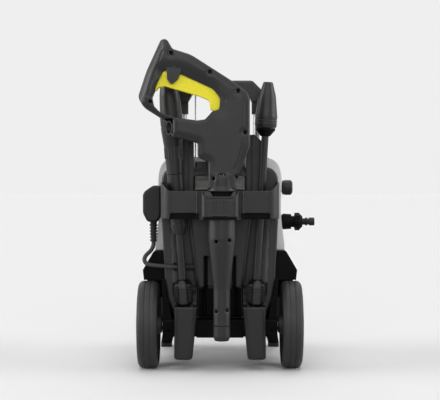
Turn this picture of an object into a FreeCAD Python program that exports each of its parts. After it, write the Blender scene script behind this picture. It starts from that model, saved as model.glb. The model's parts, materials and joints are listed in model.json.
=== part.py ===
import FreeCAD, Part
import math
import os
from FreeCAD import Vector

# An upright wheeled pressure washer, in mm.
# Ground is z = 0, the middle is x = 0 and the axle lies over y = 0. The back, with the gun and
# the two lances in their holders, faces -y. The water and pressure connectors face +x.

# Wheels and axle
wheel_radius = 78.0
wheel_width = 36.0
wheel_gauge = 220.0
wheel_rim = 7.0
tread_groove_width = 1.6
tread_groove_depth = 1.0
wheel_shoulder = 9.0
wheel_web = 6.0
wheel_spokes = 6
hub_radius = 15.0
hub_reach = 6.0
hub_cap_radius = 26.5
hub_cap_height = 4.0
axle_radius = 5.0
clip_radius = 9.0
clip_thickness = 1.2

# Upright rear housing
housing_half_width = 104.0
housing_waist = 99.0
housing_hip = 94.0
housing_top = 361.0
housing_back = -16.0
housing_split = 30.0
housing_wall = 3.5
shoulder_radius = 24.0
panel_proud = 10.0
panel_half_top = 57.0
panel_half_bottom = 42.0
panel_bottom = 147.0
panel_shoulder = 270.0
panel_neck = 46.5
panel_top = 345.0
panel_edge = 8.0
trench_depth = 10.0
trench_wall = 3.2
trench_low = 130.0
trench_high = 284.0
trench_half_low = 83.0
trench_half_high = 88.5
trench_slope = 11.0
ledge_base = housing_top - 7.0
ledge_depth = 8.0
comb_half_width = 44.0
comb_top = housing_top + 10.0
comb_teeth = 16
notch_half_width = 28.0
notch_height = 54.0
recess_depth = 21.0
recess_ribs = 4

# Axle beam across the undercarriage
beam_half_width = 102.5
beam_above = 11.0
beam_below = 21.0
beam_half_depth = 20.0
bracket_inner = 85.0
bracket_below = 24.0
bracket_above = 8.0
bracket_screw_x = 92.0
bracket_screw_z = 68.5

# Lance cups under the rear housing
cup_rim = 114.0
cup_base = 20.0
cup_floor = 60.0
cup_wall = 3.0
cup_x = 60.0
cup_base_x = 65.0
cup_y = -35.5
cup_rim_size = 41.0
cup_base_size = 32.5

# Front housing
casing_half_width = 112.5
casing_flare = 118.0
casing_front = 284.0
casing_base = 210.0
casing_top = 380.0
casing_wall = 3.0
casing_pod = 0.2

# Undercarriage
tub_half_width = 103.0
tub_wall = 3.5
tub_base = 62.0
tub_pod = 14.0
tub_pod_back = 86.0
wing_reach = 139.0
wing_base = 157.5
wing_back = 0.0
wing_front = 96.0
wing_skirt = 118.0
foot_height = 8.0
foot_x = 109.0
foot_y = 284.0
foot_width = 22.0
foot_length = 30.0

# Accessory holder
holder_bottom = 269.0
holder_height = 49.0
holder_wall = 3.2
holder_back = -78.0
holder_corner = 24.0
holder_rise = 16.0
holder_lip = 11.0
holder_sill = 2.2
collar_half_width = 30.0
collar_flutes = 5

# Trigger gun
gun_x = 3.0
gun_y = -98.0
gun_half_thickness = 18.0
gun_wall = 2.8
barrel_top_radius = 23.2
barrel_tip_radius = 14.6
barrel_end = 60.0
bayonet_length = 26.0
bayonet_bore = 8.8
hose_bore = 10.0
hose_depth = 30.0
valve_radius = 12.0
valve_base = 392.0
valve_top = 448.0
gun_pipe_radius = 4.4
screw_radius = 3.2
screw_head_radius = 2.9
screw_shank_radius = 1.3
trigger_half_width = 9.0

# Lances
lance_x = 59.5
lance_y = -32.0
lance_lean_back = 2.5
vario_lean_out = 3.9
rotor_lean_out = 3.2
lance_tube_radius = 6.3
lance_stem_radius = 8.4
lance_grip_radius = 16.6
lance_bore = 3.0
nozzle_radius = 7.0
lance_grip_start = 57.0
lance_grip_length = 44.0
vario_sleeve_start = 182.0
vario_split = 287.0
vario_sleeve_radius = 14.2
vario_head_radius = 19.8
vario_length = 455.0
vario_widest = 68.0
rotor_head_start = 365.0
rotor_head_radius = 19.6
rotor_length = 449.0

# Telescopic handle
handle_x = 67.5
handle_y = 6.0
handle_tube_radius = 8.0
handle_tube_wall = 1.5
handle_tube_foot = 170.0
handle_grip_top = 516.0
handle_grip_height = 21.0
handle_grip_half_depth = 14.0
handle_button_travel = 4.0
button_half = 14.0
latch_rod_x = 44.0
latch_rod_radius = 1.4
guide_top = 418.0
guide_inner = 47.0
guide_outer = 79.0
guide_back = -22.0
guide_tongue = 60.0
bush_radius = 11.0
bush_length = 34.0

# Water and pressure connectors on the right flank
port_y = 80.0
outlet_z = 324.0
outlet_radius = 14.0
outlet_bore = 6.0
outlet_travel = 2.5
outlet_end = 135.0
head_reach = 104.0
head_bore = 4.0
inlet_z = 260.5
inlet_radius = 14.9
inlet_nut_start = 138.8
inlet_nut_radius = 15.8
inlet_nut_end = 153.7
nipple_radius = 7.5
nipple_end = 176.0
nipple_bore = 4.5

# Parked mains plug and its cord
plug_x = -119.5
plug_y = 2.0
plug_width = 40.0
plug_face = -104.3
plug_back = -138.0
plug_base = 262.5
plug_top = 328.0
boot_end = 226.0
boot_radius = 7.4
boot_taper = 1.0
cord_radius = 3.75
cord_bore = 3.0
cord_slot = 6.5
cord_slot_x = -84.0
pin_thickness = 4.0
gland_x = -43.5
gland_length = 24.0
gland_z = 182.0
gland_y = -14.0
gland_radius = 5.4

# Motor and pump
motor_x = 0.0
motor_y = 112.0
motor_radius = 60.0
motor_base = 72.0
motor_height = 118.0
shaft_radius = 8.0
pump_height = 44.0
head_height = 96.0
switch_z = 300.0
switch_radius = 23.0

# Running and seating clearances
slip = 0.3
fit = 0.05

os.makedirs("parts", exist_ok=True)
X = Vector(1, 0, 0)
Y = Vector(0, 1, 0)
Z = Vector(0, 0, 1)
wheel_inner = wheel_gauge / 2
wheel_outer = wheel_inner + wheel_width
holder_top = holder_bottom + holder_height
beam_top = wheel_radius + beam_above
beam_base = wheel_radius - beam_below


# ---------------------------------------------------------------- helpers

def box(x0, x1, y0, y1, z0, z1):
    return Part.makeBox(x1 - x0, y1 - y0, z1 - z0, Vector(x0, y0, z0))


def rod(radius, start, end):
    span = end - start
    return Part.makeCylinder(radius, span.Length, start, span)


def outline(corners, place):
    """A closed wire through (u, v, radius) corners, each rounded by its own radius."""
    count = len(corners)
    arcs = []
    for i, (u, v, radius) in enumerate(corners):
        here = Vector(u, v, 0)
        back = Vector(*corners[i - 1][:2], 0) - here
        ahead = Vector(*corners[(i + 1) % count][:2], 0) - here
        half = back.getAngle(ahead) / 2
        back.normalize()
        ahead.normalize()
        reach = radius / math.tan(half)
        middle = here
        if radius:
            toward = (back + ahead).normalize()
            middle = here + toward * (radius / math.sin(half) - radius)
        arcs.append((here + back * reach, middle, here + ahead * reach))
    edges = []
    for i, (first, middle, last) in enumerate(arcs):
        if (last - first).Length > 1e-6:
            edges.append(Part.Arc(*(place(p.x, p.y) for p in (first, middle, last))).toShape())
        following = arcs[(i + 1) % count][0]
        if (following - last).Length > 1e-6:
            edges.append(Part.makeLine(place(last.x, last.y), place(following.x, following.y)))
    return Part.Wire(edges)


def plate_y(corners, y0, y1):
    """A plate with an (x, z) outline between two depths."""
    face = Part.Face(outline(corners, lambda x, z: Vector(x, y0, z)))
    return face.extrude(Vector(0, y1 - y0, 0))


def plate_x(corners, x0, x1):
    """A plate with a (y, z) outline between two widths."""
    face = Part.Face(outline(corners, lambda y, z: Vector(x0, y, z)))
    return face.extrude(Vector(x1 - x0, 0, 0))


def turned(corners):
    """A solid of revolution about z from (radius, height, corner radius) points."""
    face = Part.Face(outline(corners, lambda r, z: Vector(r, 0, z)))
    return face.revolve(Vector(), Z, 360)


def lay_along(shape, start, direction):
    """Moves a shape made about +z so that it starts at a point and runs along a direction."""
    moved = shape.copy()
    moved.Placement = FreeCAD.Placement(start, FreeCAD.Rotation(Z, direction)).multiply(moved.Placement)
    return moved


def both(shape):
    """A shape and its mirror image across the middle."""
    return [shape, shape.mirror(Vector(), X)]


def mirrored(corners):
    """A right half outline, listed from bottom to top, closed by its own mirror image."""
    return corners + [(-u, v, r) for u, v, r in reversed(corners)]


def fuse(shapes):
    shapes = list(shapes)
    return shapes[0].fuse(shapes[1:]).removeSplitter()


def cut(shape, tools):
    return shape.cut(list(tools)).removeSplitter()


def rounded(shape, radius, chosen):
    """Fillets the edges whose centre the test chooses."""
    edges = [e for e in shape.Edges if chosen(e.CenterOfMass)]
    return shape.makeFillet(radius, edges)


def export(node, shapes):
    solids = [s for shape in (shapes if isinstance(shapes, list) else [shapes]) for s in shape.Solids]
    for solid in solids:
        if not solid.isValid():
            print("invalid solid in", node)
    made = solids[0] if len(solids) == 1 else Part.makeCompound(solids)
    print(f"{node}: {len(solids)} solid(s), {sum(s.Volume for s in solids) / 1000:.1f} cm3")
    made.exportStep(f"parts/{node}.step")


# ---------------------------------------------------------------- wheels and axle

def tread_groove(x):
    """One groove round the tread, listed from the outer side to the inner one."""
    half = tread_groove_width / 2
    floor = wheel_radius - tread_groove_depth
    return [(x + half, wheel_radius, 0), (x + half, floor, 0), (x - half, floor, 0),
            (x - half, wheel_radius, 0)]


def wheel():
    """A moulded wheel about +x at the origin, its inner face at x = 0."""
    middle = wheel_width / 2
    rim_floor = wheel_radius - wheel_rim
    profile = [
        (wheel_width - 2, axle_radius + fit, 0),
        (wheel_width - 2, hub_radius, 2),
        (middle + wheel_web / 2, hub_radius + 6, 0),
        (middle + wheel_web / 2, rim_floor, 3),
        (wheel_width, rim_floor, 0),
        (wheel_width, wheel_radius, wheel_shoulder),
        *tread_groove(wheel_width - wheel_shoulder - 4),
        *tread_groove(wheel_shoulder + 4),
        (0, wheel_radius, wheel_shoulder),
        (0, rim_floor, 0),
        (middle - wheel_web / 2, rim_floor, 0),
        (middle - wheel_web / 2, hub_radius + 6, 0),
        (-hub_reach, hub_radius, 2),
        (-hub_reach, axle_radius + fit, 0),
    ]
    face = Part.Face(outline(profile, lambda x, r: Vector(x, 0, r)))
    body = face.revolve(Vector(), X, 360)
    inner = hub_cap_radius + 1.5
    outer = rim_floor - 6
    half = math.pi / wheel_spokes - 0.16
    window = plate_x([
        (-inner * math.sin(half) * 0.8, inner, 3),
        (inner * math.sin(half) * 0.8, inner, 3),
        (outer * math.sin(half), outer * math.cos(half), 4),
        (0, outer, 0),
        (-outer * math.sin(half), outer * math.cos(half), 4),
    ], 0, wheel_width)
    windows = []
    for i in range(wheel_spokes):
        turn = window.copy()
        turn.rotate(Vector(), X, i * 360 / wheel_spokes)
        windows.append(turn)
    return cut(body, windows)


def hub_cap():
    """A push-on dome that covers the wheel hub, its rim at the wheel's outer web."""
    start = wheel_width / 2 + wheel_web / 2 + slip
    crown = wheel_width + hub_cap_height
    wall = 1.6
    profile = [
        (start, hub_cap_radius - wall, 0),
        (start, hub_cap_radius, 0),
        (crown - 4, hub_cap_radius, 2),
        (crown, hub_cap_radius - 9, 4),
        (crown, 0, 0),
        (crown - wall, 0, 0),
        (crown - wall, hub_cap_radius - 9 - wall / 2, 2),
        (crown - 4 - wall, hub_cap_radius - wall, 1),
    ]
    face = Part.Face(outline(profile, lambda x, r: Vector(x, 0, r)))
    return face.revolve(Vector(), X, 360)


def running_gear():
    centre = Vector(wheel_inner, 0, wheel_radius)
    right = wheel()
    right.translate(centre)
    cap = hub_cap()
    cap.translate(centre)
    hub_end = wheel_outer - 2
    clip_start = Vector(hub_end + slip, 0, wheel_radius)
    clip = rod(clip_radius, clip_start, clip_start + X * clip_thickness)
    clip = cut(clip, [rod(axle_radius, clip_start, clip_start + X * clip_thickness)])
    half = hub_end + slip + clip_thickness + 0.6
    export("axle", rod(axle_radius, Vector(-half, 0, wheel_radius), Vector(half, 0, wheel_radius)))
    export("axle_clips", both(clip))
    for side, a_wheel, a_cap in zip(("right", "left"), both(right), both(cap)):
        export(f"wheel_{side}", a_wheel)
        export(f"hub_cap_{side}", a_cap)


# ---------------------------------------------------------------- rear housing

def rounded_rectangle(width, depth, x, y, z, radius):
    u = width / 2
    v = depth / 2
    corners = [(x - u, y - v, radius), (x + u, y - v, radius), (x + u, y + v, radius),
               (x - u, y + v, radius)]
    return outline(corners, lambda a, b: Vector(a, b, z))


def cup_section(z, inset):
    """The cup's outline at a height: it tapers from the rim to the base."""
    share = (z - cup_base) / (cup_rim - cup_base)
    size = cup_base_size + (cup_rim_size - cup_base_size) * share - 2 * inset
    x = cup_base_x + (cup_x - cup_base_x) * share
    return rounded_rectangle(size, size, x, cup_y, z, 9 - inset)


def lance_cup():
    body = Part.makeLoft([cup_section(cup_base, 0), cup_section(cup_rim, 0)], True, True)
    body = rounded(body, 5, lambda c: abs(c.z - cup_base) < 0.01)
    pocket = Part.makeLoft([cup_section(cup_floor, cup_wall), cup_section(cup_rim + 1, cup_wall)],
                           True, True)
    return body, pocket


def housing_outline(inset):
    half = housing_half_width - inset
    waist = housing_waist - inset
    top = housing_top - inset
    hip = housing_hip - inset
    foot = beam_top + inset
    return mirrored([
        (cup_x + cup_rim_size / 2 - inset, foot, 3),
        (hip, 124, 16),
        (waist, 162, 30),
        (half, 262, 60),
        (half, top, shoulder_radius - inset),
    ])


def panel_outline(inset):
    return mirrored([
        (panel_half_bottom - inset, panel_bottom + inset, 0),
        (panel_half_bottom + 4 - inset, 180, 60),
        (panel_half_top - inset, panel_shoulder, 30),
        (panel_neck - inset, panel_shoulder + 24, 20),
        (panel_neck - inset, panel_top - inset, 9 - inset),
    ])


def trench(grow):
    """The hollow beside the panel in which the right lance lies, or, grown, the skin behind it."""
    wires = []
    for depth in (1 if grow else -1, trench_depth + grow):
        inward = trench_slope * depth / trench_depth - 1.5 * grow
        corners = [
            (panel_neck - 2, trench_low + inward, 0), (trench_half_low - inward, trench_low + inward, 0),
            (trench_half_high - inward, trench_high + grow, 0), (panel_neck - 2, trench_high + grow, 0)]
        wires.append(outline(corners, lambda x, z: Vector(x, housing_back + depth, z)))
    return Part.makeLoft(wires, True, True)


def comb():
    """A row of upright teeth on the ledge in the housing's top edge, between the guides."""
    pitch = 2 * comb_half_width / comb_teeth
    teeth = []
    for i in range(comb_teeth):
        x = -comb_half_width + pitch * (i + 0.2)
        teeth.append(box(x, x + pitch * 0.55, housing_back + 4, housing_back + ledge_depth + 1,
                         ledge_base - 1, comb_top))
    rail = box(-comb_half_width, comb_half_width, housing_back + ledge_depth,
               housing_back + ledge_depth + 3,
               housing_top - 2, comb_top)
    return teeth + [rail]


def plug_pin_places():
    """Centre, half width, half height and length of the plug's three pins."""
    half = pin_thickness / 2
    live_z = plug_top - 38
    return [(plug_y, plug_top - 16, half, 4.0, 22.7), (plug_y - 11, live_z, 3.15, half, 17.7),
            (plug_y + 11, live_z, 3.15, half, 17.7)]


def rear_housing():
    back = housing_back
    shell = plate_y(housing_outline(0), back, housing_split)
    shell = rounded(shell, 5, lambda c: abs(c.y - back) < 0.01)
    hollow = plate_y(housing_outline(housing_wall), back + housing_wall, housing_split)
    shell = shell.cut(hollow)
    floor = back + trench_depth + trench_wall
    panel = plate_y(panel_outline(0), back - panel_proud, floor)
    panel = rounded(panel, panel_edge,
                    lambda c: abs(c.y - back + panel_proud) < 0.01 and c.z > panel_bottom + 1)
    behind = plate_y(panel_outline(housing_wall), back - panel_proud + housing_wall, floor + 1)
    face = back - panel_proud
    notch = box(-notch_half_width, notch_half_width, face - 1, face + recess_depth - 3,
                panel_bottom - 1, panel_bottom + notch_height)
    notch_skin = box(-notch_half_width - housing_wall, notch_half_width + housing_wall,
                     face + 3, face + recess_depth - 3 + housing_wall,
                     panel_bottom - 1, panel_bottom + notch_height + housing_wall)
    recess_low = beam_top + 4
    half = panel_half_bottom - 1
    recess = box(-half, half, face - 1, back + recess_depth, recess_low, panel_bottom)
    recess_skin = box(-half - housing_wall, half + housing_wall, back + 1,
                      back + recess_depth + housing_wall, recess_low - 4, panel_bottom + housing_wall)
    ribs = []
    for i in range(recess_ribs):
        x = (i - (recess_ribs - 1) / 2) * half / 2.2
        rib_outline = [
            (back + 6, recess_low - 1, 0), (back + recess_depth + 1, recess_low - 1, 0),
            (back + recess_depth + 1, panel_bottom + 1, 0), (back + 14, panel_bottom + 1, 0)]
        ribs.append(plate_x(rib_outline, x - 1.2, x + 1.2))
    slot = box(cord_slot_x, -trench_half_low + trench_slope, back - 1, gland_y + cord_slot,
               gland_z - cord_slot, gland_z + cord_slot)
    slot_skin = box(cord_slot_x - housing_wall, -trench_half_low + trench_slope, back + 1,
                    gland_y + cord_slot + trench_wall, gland_z - cord_slot - housing_wall,
                    gland_z + cord_slot + housing_wall)
    body, pocket = lance_cup()
    tube_hole = rod(bush_radius + slip, Vector(handle_x, handle_y, housing_top - 30),
                    Vector(handle_x, handle_y, housing_top + 1))
    shell = shell.fuse(both(trench(trench_wall)) + [slot_skin]).cut(both(trench(0)) + [slot])
    solid = shell.cut([behind]).fuse([panel.cut(behind), notch_skin, recess_skin])
    ledge = box(-panel_neck + 1, panel_neck - 1, back - 1, back + ledge_depth, ledge_base, housing_top + 1)
    ledge_skin = box(-panel_neck - 2, panel_neck + 2, back + 2, back + ledge_depth + housing_wall,
                     ledge_base - housing_wall, housing_top)
    solid = cut(solid.fuse(ledge_skin), [notch, recess, ledge])
    solid = fuse([solid] + ribs + comb() + both(body))
    rod_hole = rod(latch_rod_radius + slip, Vector(-latch_rod_x, handle_y, housing_top - 30),
                   Vector(-latch_rod_x, handle_y, housing_top + 1))
    gland_end = Vector(gland_x, gland_y, gland_z)
    gland_hole = rod(gland_radius + fit, gland_end - X * 8, gland_end)
    slots = [box(-housing_half_width - 1, -housing_half_width + 8, y - w - slip, y + w + slip,
                 z - h - slip, z + h + slip) for y, z, w, h, length in plug_pin_places()]
    return cut(solid, both(pocket) + both(tube_hole) + [rod_hole, gland_hole] + slots)


# ---------------------------------------------------------------- undercarriage

def body_section(z, half, front, pod=0.0):
    """A level section of the body: straight flanks, a rounded front, and pods ahead of the wheels."""
    middle = housing_split + (front - housing_split) * 0.5
    step = tub_pod_back + pod
    flank = [(half, housing_split + slip, 0), (half, tub_pod_back, 0), (half + pod, step, 0)]
    corners = flank + [(half + pod, middle, 50), (half * 0.52, front, 45)]
    corners += [(-u, v, r) for u, v, r in reversed(corners)]
    return outline(corners, lambda x, y: Vector(x, y, z))


def tub(inset):
    """The black lower body: narrow between the wheels, flared above them."""
    front = casing_front - inset
    floor = tub_base + inset
    lower = [body_section(floor, tub_half_width - 4 - inset, front - 26, tub_pod),
             body_section(wing_base, tub_half_width - inset, front - 6, tub_pod)]
    upper = [body_section(wing_base, tub_half_width - inset, front - 6, tub_pod),
             body_section(casing_base, casing_flare - inset, front, casing_pod)]
    return [Part.makeLoft(lower, True, True), Part.makeLoft(upper, True, True)]


def wing(inset):
    return plate_y([
        (housing_waist, wing_base - (1 if inset else 0), 0),
        (wing_reach - 2 - inset, wing_base - (1 if inset else 0), 0),
        (wing_reach - inset, wing_base + 18, 4),
        (casing_flare + 1 - inset, casing_base - inset, 6),
        (housing_waist, casing_base - inset, 0),
    ], wing_back + inset, wing_front - inset)


def foot_pad():
    sole = Part.Face(rounded_rectangle(foot_width, foot_length, foot_x, foot_y, 0, 6))
    return sole.extrude(Z * foot_height)


def base_frame():
    body = fuse(tub(0))
    legs = []
    for side in (1, -1):
        top = rounded_rectangle(34, 110, side * (tub_half_width - 24), casing_front - 96, tub_base + 70, 12)
        bottom = rounded_rectangle(foot_width, foot_length, side * foot_x, foot_y, foot_height, 6)
        legs.append(Part.makeLoft([bottom, top], True, True))
    beam_section = [
        (-beam_half_depth, beam_base, 6), (beam_half_depth, beam_base, 3),
        (beam_half_depth, beam_top - slip, 3), (-beam_half_depth, beam_top - slip, 3)]
    beam = plate_x(beam_section, -beam_half_width, beam_half_width)
    rail = plate_x([
        (-beam_half_depth - 3, beam_base - 1, 2), (-beam_half_depth + 3, beam_base - 1, 0),
        (-beam_half_depth + 3, beam_base + 8, 0), (-beam_half_depth - 3, beam_base + 8, 2)],
        -panel_half_bottom, panel_half_bottom)
    floor = box(-tub_half_width + 8, tub_half_width - 8, 0, housing_split + tub_wall + 4, tub_base,
                tub_base + 4)
    wall = box(-tub_half_width + 4, tub_half_width - 4, housing_split + slip,
               housing_split + slip + tub_wall, tub_base, beam_top)
    side = box(housing_waist - 4, beam_half_width, housing_back, housing_split + 10, beam_top - 4,
               wing_base + 2)
    bracket = box(bracket_inner, beam_half_width, -beam_half_depth - 2.5, -beam_half_depth + 6,
                  wheel_radius - bracket_below, wheel_radius + bracket_above)
    screw = rod(screw_radius, Vector(bracket_screw_x, -beam_half_depth - 3, bracket_screw_z),
                Vector(bracket_screw_x, -beam_half_depth + 5, bracket_screw_z))
    gusset = plate_y([
        (housing_hip - 8, beam_top - 2, 0), (beam_half_width, beam_top - 2, 0),
        (housing_waist + 1, beam_top + 40, 0), (housing_hip - 2, beam_top + 36, 0)],
        -beam_half_depth, housing_back + 1)
    skirt = box(housing_waist, wing_reach - 2, wing_front - tub_wall, wing_front, wing_skirt, wing_base + 4)
    body = fuse([body, beam, rail, floor] + legs + both(side) + both(gusset) + both(bracket)
                + both(wing(0)) + both(skirt))
    hollow = tub(tub_wall)
    hollow[1] = Part.makeLoft([
        body_section(wing_base, tub_half_width - tub_wall, casing_front - 6 - tub_wall, tub_pod),
        body_section(casing_base + 1, casing_flare - tub_wall, casing_front - tub_wall, casing_pod)],
        True, True)
    axle_bore = rod(axle_radius + fit, Vector(-beam_half_width - 1, 0, wheel_radius),
                    Vector(beam_half_width + 1, 0, wheel_radius))
    beside = plate_y(housing_outline(-slip), housing_back - slip, housing_split + slip)
    cups = both(lance_cup()[0])
    under_wing = both(wing(3).cut(fuse(tub(0))))
    body = cut(body, hollow + [axle_bore, beside] + both(screw) + cups + under_wing)
    return body.fuse(wall).removeSplitter()


# ---------------------------------------------------------------- front housing

def casing(inset):
    levels = [
        (casing_base + slip - (1 if inset else 0), casing_flare, casing_front),
        (casing_base + 42, casing_half_width + 1, casing_front - 3),
        (casing_top - 50, casing_half_width, casing_front - 15),
        (casing_top - 26, casing_half_width - 2, casing_front - 24),
        (casing_top - 11, casing_half_width - 9, casing_front - 36),
        (casing_top - 3, casing_half_width - 21, casing_front - 50),
        (casing_top - inset, casing_half_width - 34, casing_front - 64)]
    if inset:
        levels[-2] = (casing_top - 3 - inset, casing_half_width - 21, casing_front - 50)
    sections = [body_section(z, half - inset, front - inset, casing_pod) for z, half, front in levels]
    return Part.makeLoft(sections, True, False)


def front_housing():
    shell = casing(0)
    hollow = casing(casing_wall)
    rim = box(-200, 200, housing_split, housing_split + slip + casing_wall, 0, 500)
    hollow = hollow.cut(rim)
    mouth = plate_y(housing_outline(housing_wall), housing_split, housing_split + 10)
    ports = [rod(11, Vector(90, port_y, z), Vector(130, port_y, z)) for z in (outlet_z, inlet_z)]
    knob = rod(6, Vector(0, casing_front - 60, switch_z), Vector(0, casing_front + 10, switch_z))
    return cut(shell, [hollow, mouth, knob] + ports)


# ---------------------------------------------------------------- accessory holder

def holder_loop():
    """The holder's plan: a strap across the back that bulges out round the gun's barrel."""
    half = housing_half_width
    bulge = gun_y - barrel_top_radius - 2 * slip - holder_wall
    return [
        (half, housing_back, 0), (half, holder_back, holder_corner),
        (collar_half_width + 10, holder_back, 4), (collar_half_width, bulge, 11),
        (-collar_half_width, bulge, 11), (-collar_half_width - 10, holder_back, 4),
        (-half, holder_back, holder_corner), (-half, housing_back, 0)]


def accessory_holder():
    low = holder_bottom
    high = holder_bottom + holder_height
    tall = high + holder_rise
    plan = Part.Face(outline(holder_loop(), lambda x, y: Vector(x, y, low)))
    outer = plan.extrude(Z * (tall - low))
    inner = plan.makeOffset2D(-holder_wall).extrude(Z * (tall - low))
    inner = inner.fuse(box(-housing_half_width + holder_wall, housing_half_width - holder_wall,
                           housing_back - 2 * holder_wall, housing_back + 1, low, tall))
    strap = outer.cut(inner)
    slope = plate_x([
        (holder_back * 3, high, 0), (holder_back + holder_corner, high, 12), (housing_back - 8, tall, 0),
        (housing_back - 8, tall + 9, 0), (holder_back * 3, tall + 9, 0)], -150, 150)
    strap = strap.cut(slope)
    far = housing_half_width - holder_corner + 4
    near = collar_half_width + 12
    edge = box(near, far, holder_back - 1, holder_back + holder_wall + 1, low - 1, low + holder_lip)
    sill = box(near - 1, far + 1, holder_back + 2.4, holder_back + 2.4 + holder_sill, low,
               low + holder_lip + 1)
    strap = strap.cut(both(edge)).fuse(both(sill))
    # the barrel's pocket: a wall behind it and a rim that the gun's shoulder rests on
    wall_y = gun_y + barrel_top_radius + slip
    behind = box(-collar_half_width - 10, collar_half_width + 10, wall_y, wall_y + holder_wall, low, high)
    plate = Part.Face(outline(holder_loop(), lambda x, y: Vector(x, y, high - 4))).extrude(Z * 4)
    rim = plate.common(box(-collar_half_width - 10, collar_half_width + 10, -200, wall_y + holder_wall,
                           high - 4, high))
    hole = rod(barrel_top_radius + slip, Vector(gun_x, gun_y, low - 1), Vector(gun_x, gun_y, high + 1))
    front = gun_y - barrel_top_radius - 2 * slip - holder_wall
    flutes = []
    for i in range(collar_flutes):
        x = (i - (collar_flutes - 1) / 2) * 5.2
        flutes.append(box(x - 1.1, x + 1.1, front - 1, front + 1.2, low + 8, high - 12))
    groove = box(-200, 200, front - 1, front + 1.2, high - 11, high - 5)
    solid = fuse([strap, behind, rim])
    return cut(solid, [hole, groove] + flutes)


# ---------------------------------------------------------------- telescopic handle

def guide(side):
    """A guide column on the right of the housing, or its mirror image, with a bush for the tube."""
    x0, x1 = guide_inner, guide_outer
    front = handle_y + bush_radius
    column = plate_y([
        (x0, housing_top + slip, 0), (x1, housing_top + slip, 0), (x1, guide_top - 16, 4),
        (handle_x - 6, guide_top, 3), (x0, guide_top, 3)], guide_back, front)
    tongue = box(x0, x1, guide_back, housing_back - slip, housing_top - guide_tongue,
                 housing_top + slip + 2)
    start = Vector(handle_x, handle_y, housing_top - bush_length)
    bush = rod(bush_radius, start, Vector(handle_x, handle_y, housing_top + 2))
    groove = box(x0 + 7, x0 + 10.5, guide_back - 1, guide_back + 5, housing_top - guide_tongue - 1,
                 guide_top + 1)
    bore = rod(handle_tube_radius + slip, start - Z, Vector(handle_x, handle_y, guide_top + 1))
    made = cut(fuse([column, tongue, bush]), [groove, bore])
    return made if side > 0 else made.mirror(Vector(), X)


def handle_tube():
    foot = Vector(handle_x, handle_y, handle_tube_foot)
    head = Vector(handle_x, handle_y, handle_grip_top - handle_grip_height - 1)
    return rod(handle_tube_radius, foot, head).cut(rod(handle_tube_radius - handle_tube_wall, foot, head))


def handle_grip():
    top = handle_grip_top
    low = top - 60
    outer = handle_x + handle_tube_radius + 1.6
    inner = handle_x - handle_tube_radius - 2.4
    depth = handle_grip_half_depth
    body = plate_y(mirrored([(outer, low, 2), (outer, top - 19, 8), (outer - 19, top, 9)]),
                   handle_y - depth, handle_y + depth)
    body = rounded(body, 5, lambda c: abs(abs(c.y - handle_y) - depth) < 0.01 and c.z > low + 1)
    gap = plate_y(mirrored([(inner, low - 1, 0), (inner, top - 38, 3),
                            (inner - 10, top - handle_grip_height, 8)]),
                  handle_y - depth - 1, handle_y + depth + 1)
    sockets = []
    for x in (handle_x, -handle_x):
        sockets.append(rod(handle_tube_radius, Vector(x, handle_y, low - 1),
                           Vector(x, handle_y, top - handle_grip_height - 1)))
    trim = both(box(0, outer + 5, handle_y - depth - 1, handle_y - depth + 4.5, low - 1, top - 38))
    trim += both(box(0, outer + 5, handle_y + depth - 4.5, handle_y + depth + 1, low - 1, top - 38))
    pin = rod(latch_rod_radius, Vector(-latch_rod_x, handle_y, top - handle_grip_height - 1),
              Vector(-latch_rod_x, handle_y, top - handle_grip_height + 6))
    pocket = box(-button_half - slip, button_half + slip, handle_y - 7 - slip, handle_y + 7 + slip,
                 top - 9, top + 1)
    return cut(body, [gap, pin, pocket] + sockets + trim)


def handle_button():
    top = handle_grip_top
    body = box(-button_half, button_half, handle_y - 7, handle_y + 7,
               top - 9 + handle_button_travel + slip, top + 2)
    return rounded(body, 1.6, lambda c: c.z > top + 1.9)


def latch_rod():
    return rod(latch_rod_radius, Vector(-latch_rod_x, handle_y, handle_tube_foot),
               Vector(-latch_rod_x, handle_y, handle_grip_top - handle_grip_height + 6))


# ---------------------------------------------------------------- trigger gun

def gun_outline():
    """The gun's side view: barrel stub, nose, guard loop and grip, clockwise from the barrel."""
    left = gun_x - barrel_top_radius
    right = gun_x + barrel_top_radius
    return [
        (right, 322, 0), (right + 1, 336, 12), (41, 366, 30), (51, 396, 40), (51, 483, 22), (18, 507.5, 60),
        (-50, 551, 60), (-81, 560.5, 6), (-96.5, 587, 8), (-126, 522, 150), (-140.5, 478, 14),
        (-130, 460.5, 25), (-93, 437, 9), (-82, 411, 6), (-38.5, 400, 3), (-38.5, 376.5, 5.5),
        (left, 367, 4), (left, 322, 0)]


finger_opening = [
    (-116.3, 478, 6), (-106, 503.5, 10), (-97.4, 520.7, 5), (-88.8, 524.1, 4), (-68.2, 517.3, 10),
    (-11.5, 491.5, 22), (0.5, 476, 10), (-1.2, 457, 6), (-13.2, 453.7, 3), (-25.3, 440, 6),
    (-39, 438.2, 8), (-82, 444, 10), (-101.5, 451.5, 10), (-113.5, 464, 8)]
trigger_pivot = (12.0, 470.0)
lock_pivot = (-78.0, 529.0)
gun_screw_places = [
    (-83, 553), (-17, 521), (31, 489), (-118.5, 470), (43, 418), (-11, 339), (28, 342),
    (-6, 232), (15.5, 234), (-6.2, 112), (12.4, 114)]
hose_z = 426.0
hose_x = -88.0


def at_gun(x, z, depth=0.0):
    """A point of the gun's side view, depth measured from its middle plane toward the machine."""
    return Vector(x, gun_y + depth, z)


def barrel(inset):
    top = barrel_top_radius - inset
    tip = barrel_tip_radius - inset
    seam = barrel_end + bayonet_length
    body = turned([(0, seam, 0), (tip, seam, 0), (tip, 150, 30), (top, 236, 30), (top, 345, 0),
                   (0, 345, 0)])
    body.translate(Vector(gun_x, gun_y, 0))
    return body


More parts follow.
